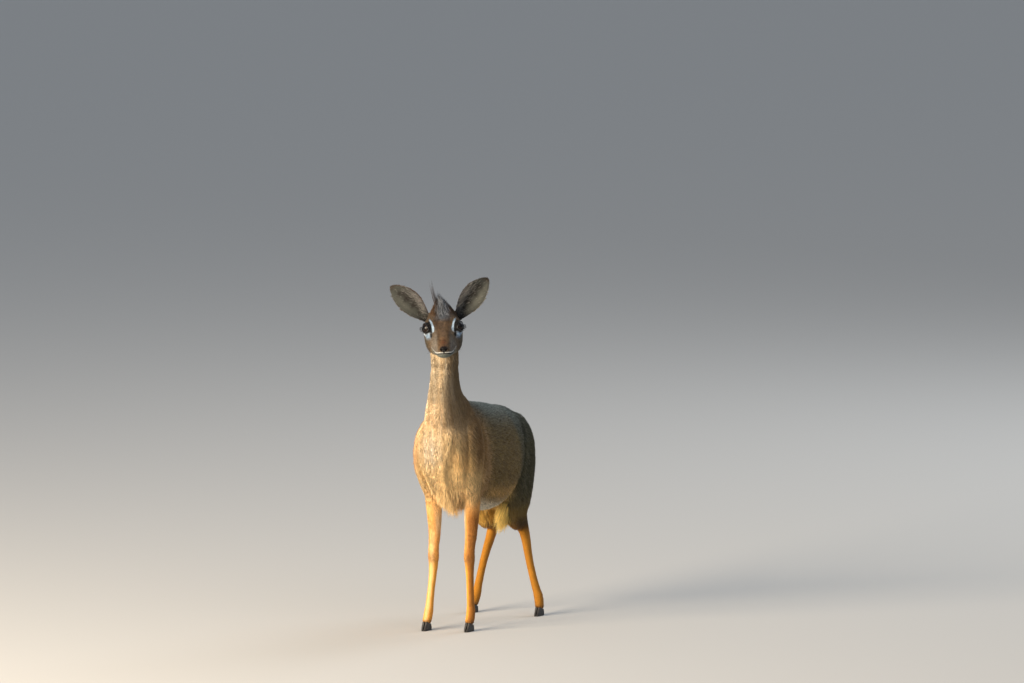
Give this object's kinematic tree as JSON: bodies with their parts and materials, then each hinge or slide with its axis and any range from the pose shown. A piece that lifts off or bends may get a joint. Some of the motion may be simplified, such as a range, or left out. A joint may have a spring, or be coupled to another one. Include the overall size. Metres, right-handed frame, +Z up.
{
  "type": "dik-dik",
  "caption": "Small long-legged antelope standing alert with its face turned, ears spread and a leaning tuft on the crown.",
  "frame": {"origin": "on the floor under the middle of the animal's box", "axes": "+Z up, -Y the way the body faces, +X to the animal's left"},
  "size_m": [0.171, 0.4322, 0.616],
  "materials": {
    "fawn_coat": "short fur, fawn to orange tan",
    "grizzled_coat": "short fur, grizzled grey brown",
    "pale_coat": "short fur, off white",
    "leg_coat": "very short fur, orange tan",
    "ear_coat": "short fur, pale hair inside the cup",
    "eye": "wet gloss, dark brown",
    "nose_skin": "moist black skin",
    "hoof_horn": "black horn, satin"
  },
  "bodies": {
    "root": {"nose": "nose_skin", "head": "fawn_coat", "lower_jaw": "pale_coat", "eye_right": "eye", "eye_left": "eye", "ear_left": "ear_coat", "ear_right": "ear_coat", "chest": "fawn_coat", "barrel": "grizzled_coat", "rump": "grizzled_coat", "neck_lower": "fawn_coat", "neck_upper": "fawn_coat", "tail": "grizzled_coat", "shoulder_fore_right": "fawn_coat", "forearm_fore_right": "leg_coat", "cannon_fore_right": "leg_coat", "pastern_fore_right": "leg_coat", "claw_outer_fore_right": "hoof_horn", "claw_inner_fore_right": "hoof_horn", "thigh_hind_right": "grizzled_coat", "gaskin_hind_right": "leg_coat", "cannon_hind_right": "leg_coat", "pastern_hind_right": "leg_coat", "claw_outer_hind_right": "hoof_horn", "claw_inner_hind_right": "hoof_horn", "shoulder_fore_left": "fawn_coat", "forearm_fore_left": "leg_coat", "cannon_fore_left": "leg_coat", "pastern_fore_left": "leg_coat", "claw_outer_fore_left": "hoof_horn", "claw_inner_fore_left": "hoof_horn", "thigh_hind_left": "grizzled_coat", "gaskin_hind_left": "leg_coat", "cannon_hind_left": "leg_coat", "pastern_hind_left": "leg_coat", "claw_outer_hind_left": "hoof_horn", "claw_inner_hind_left": "hoof_horn"}
  },
  "joints": []
}
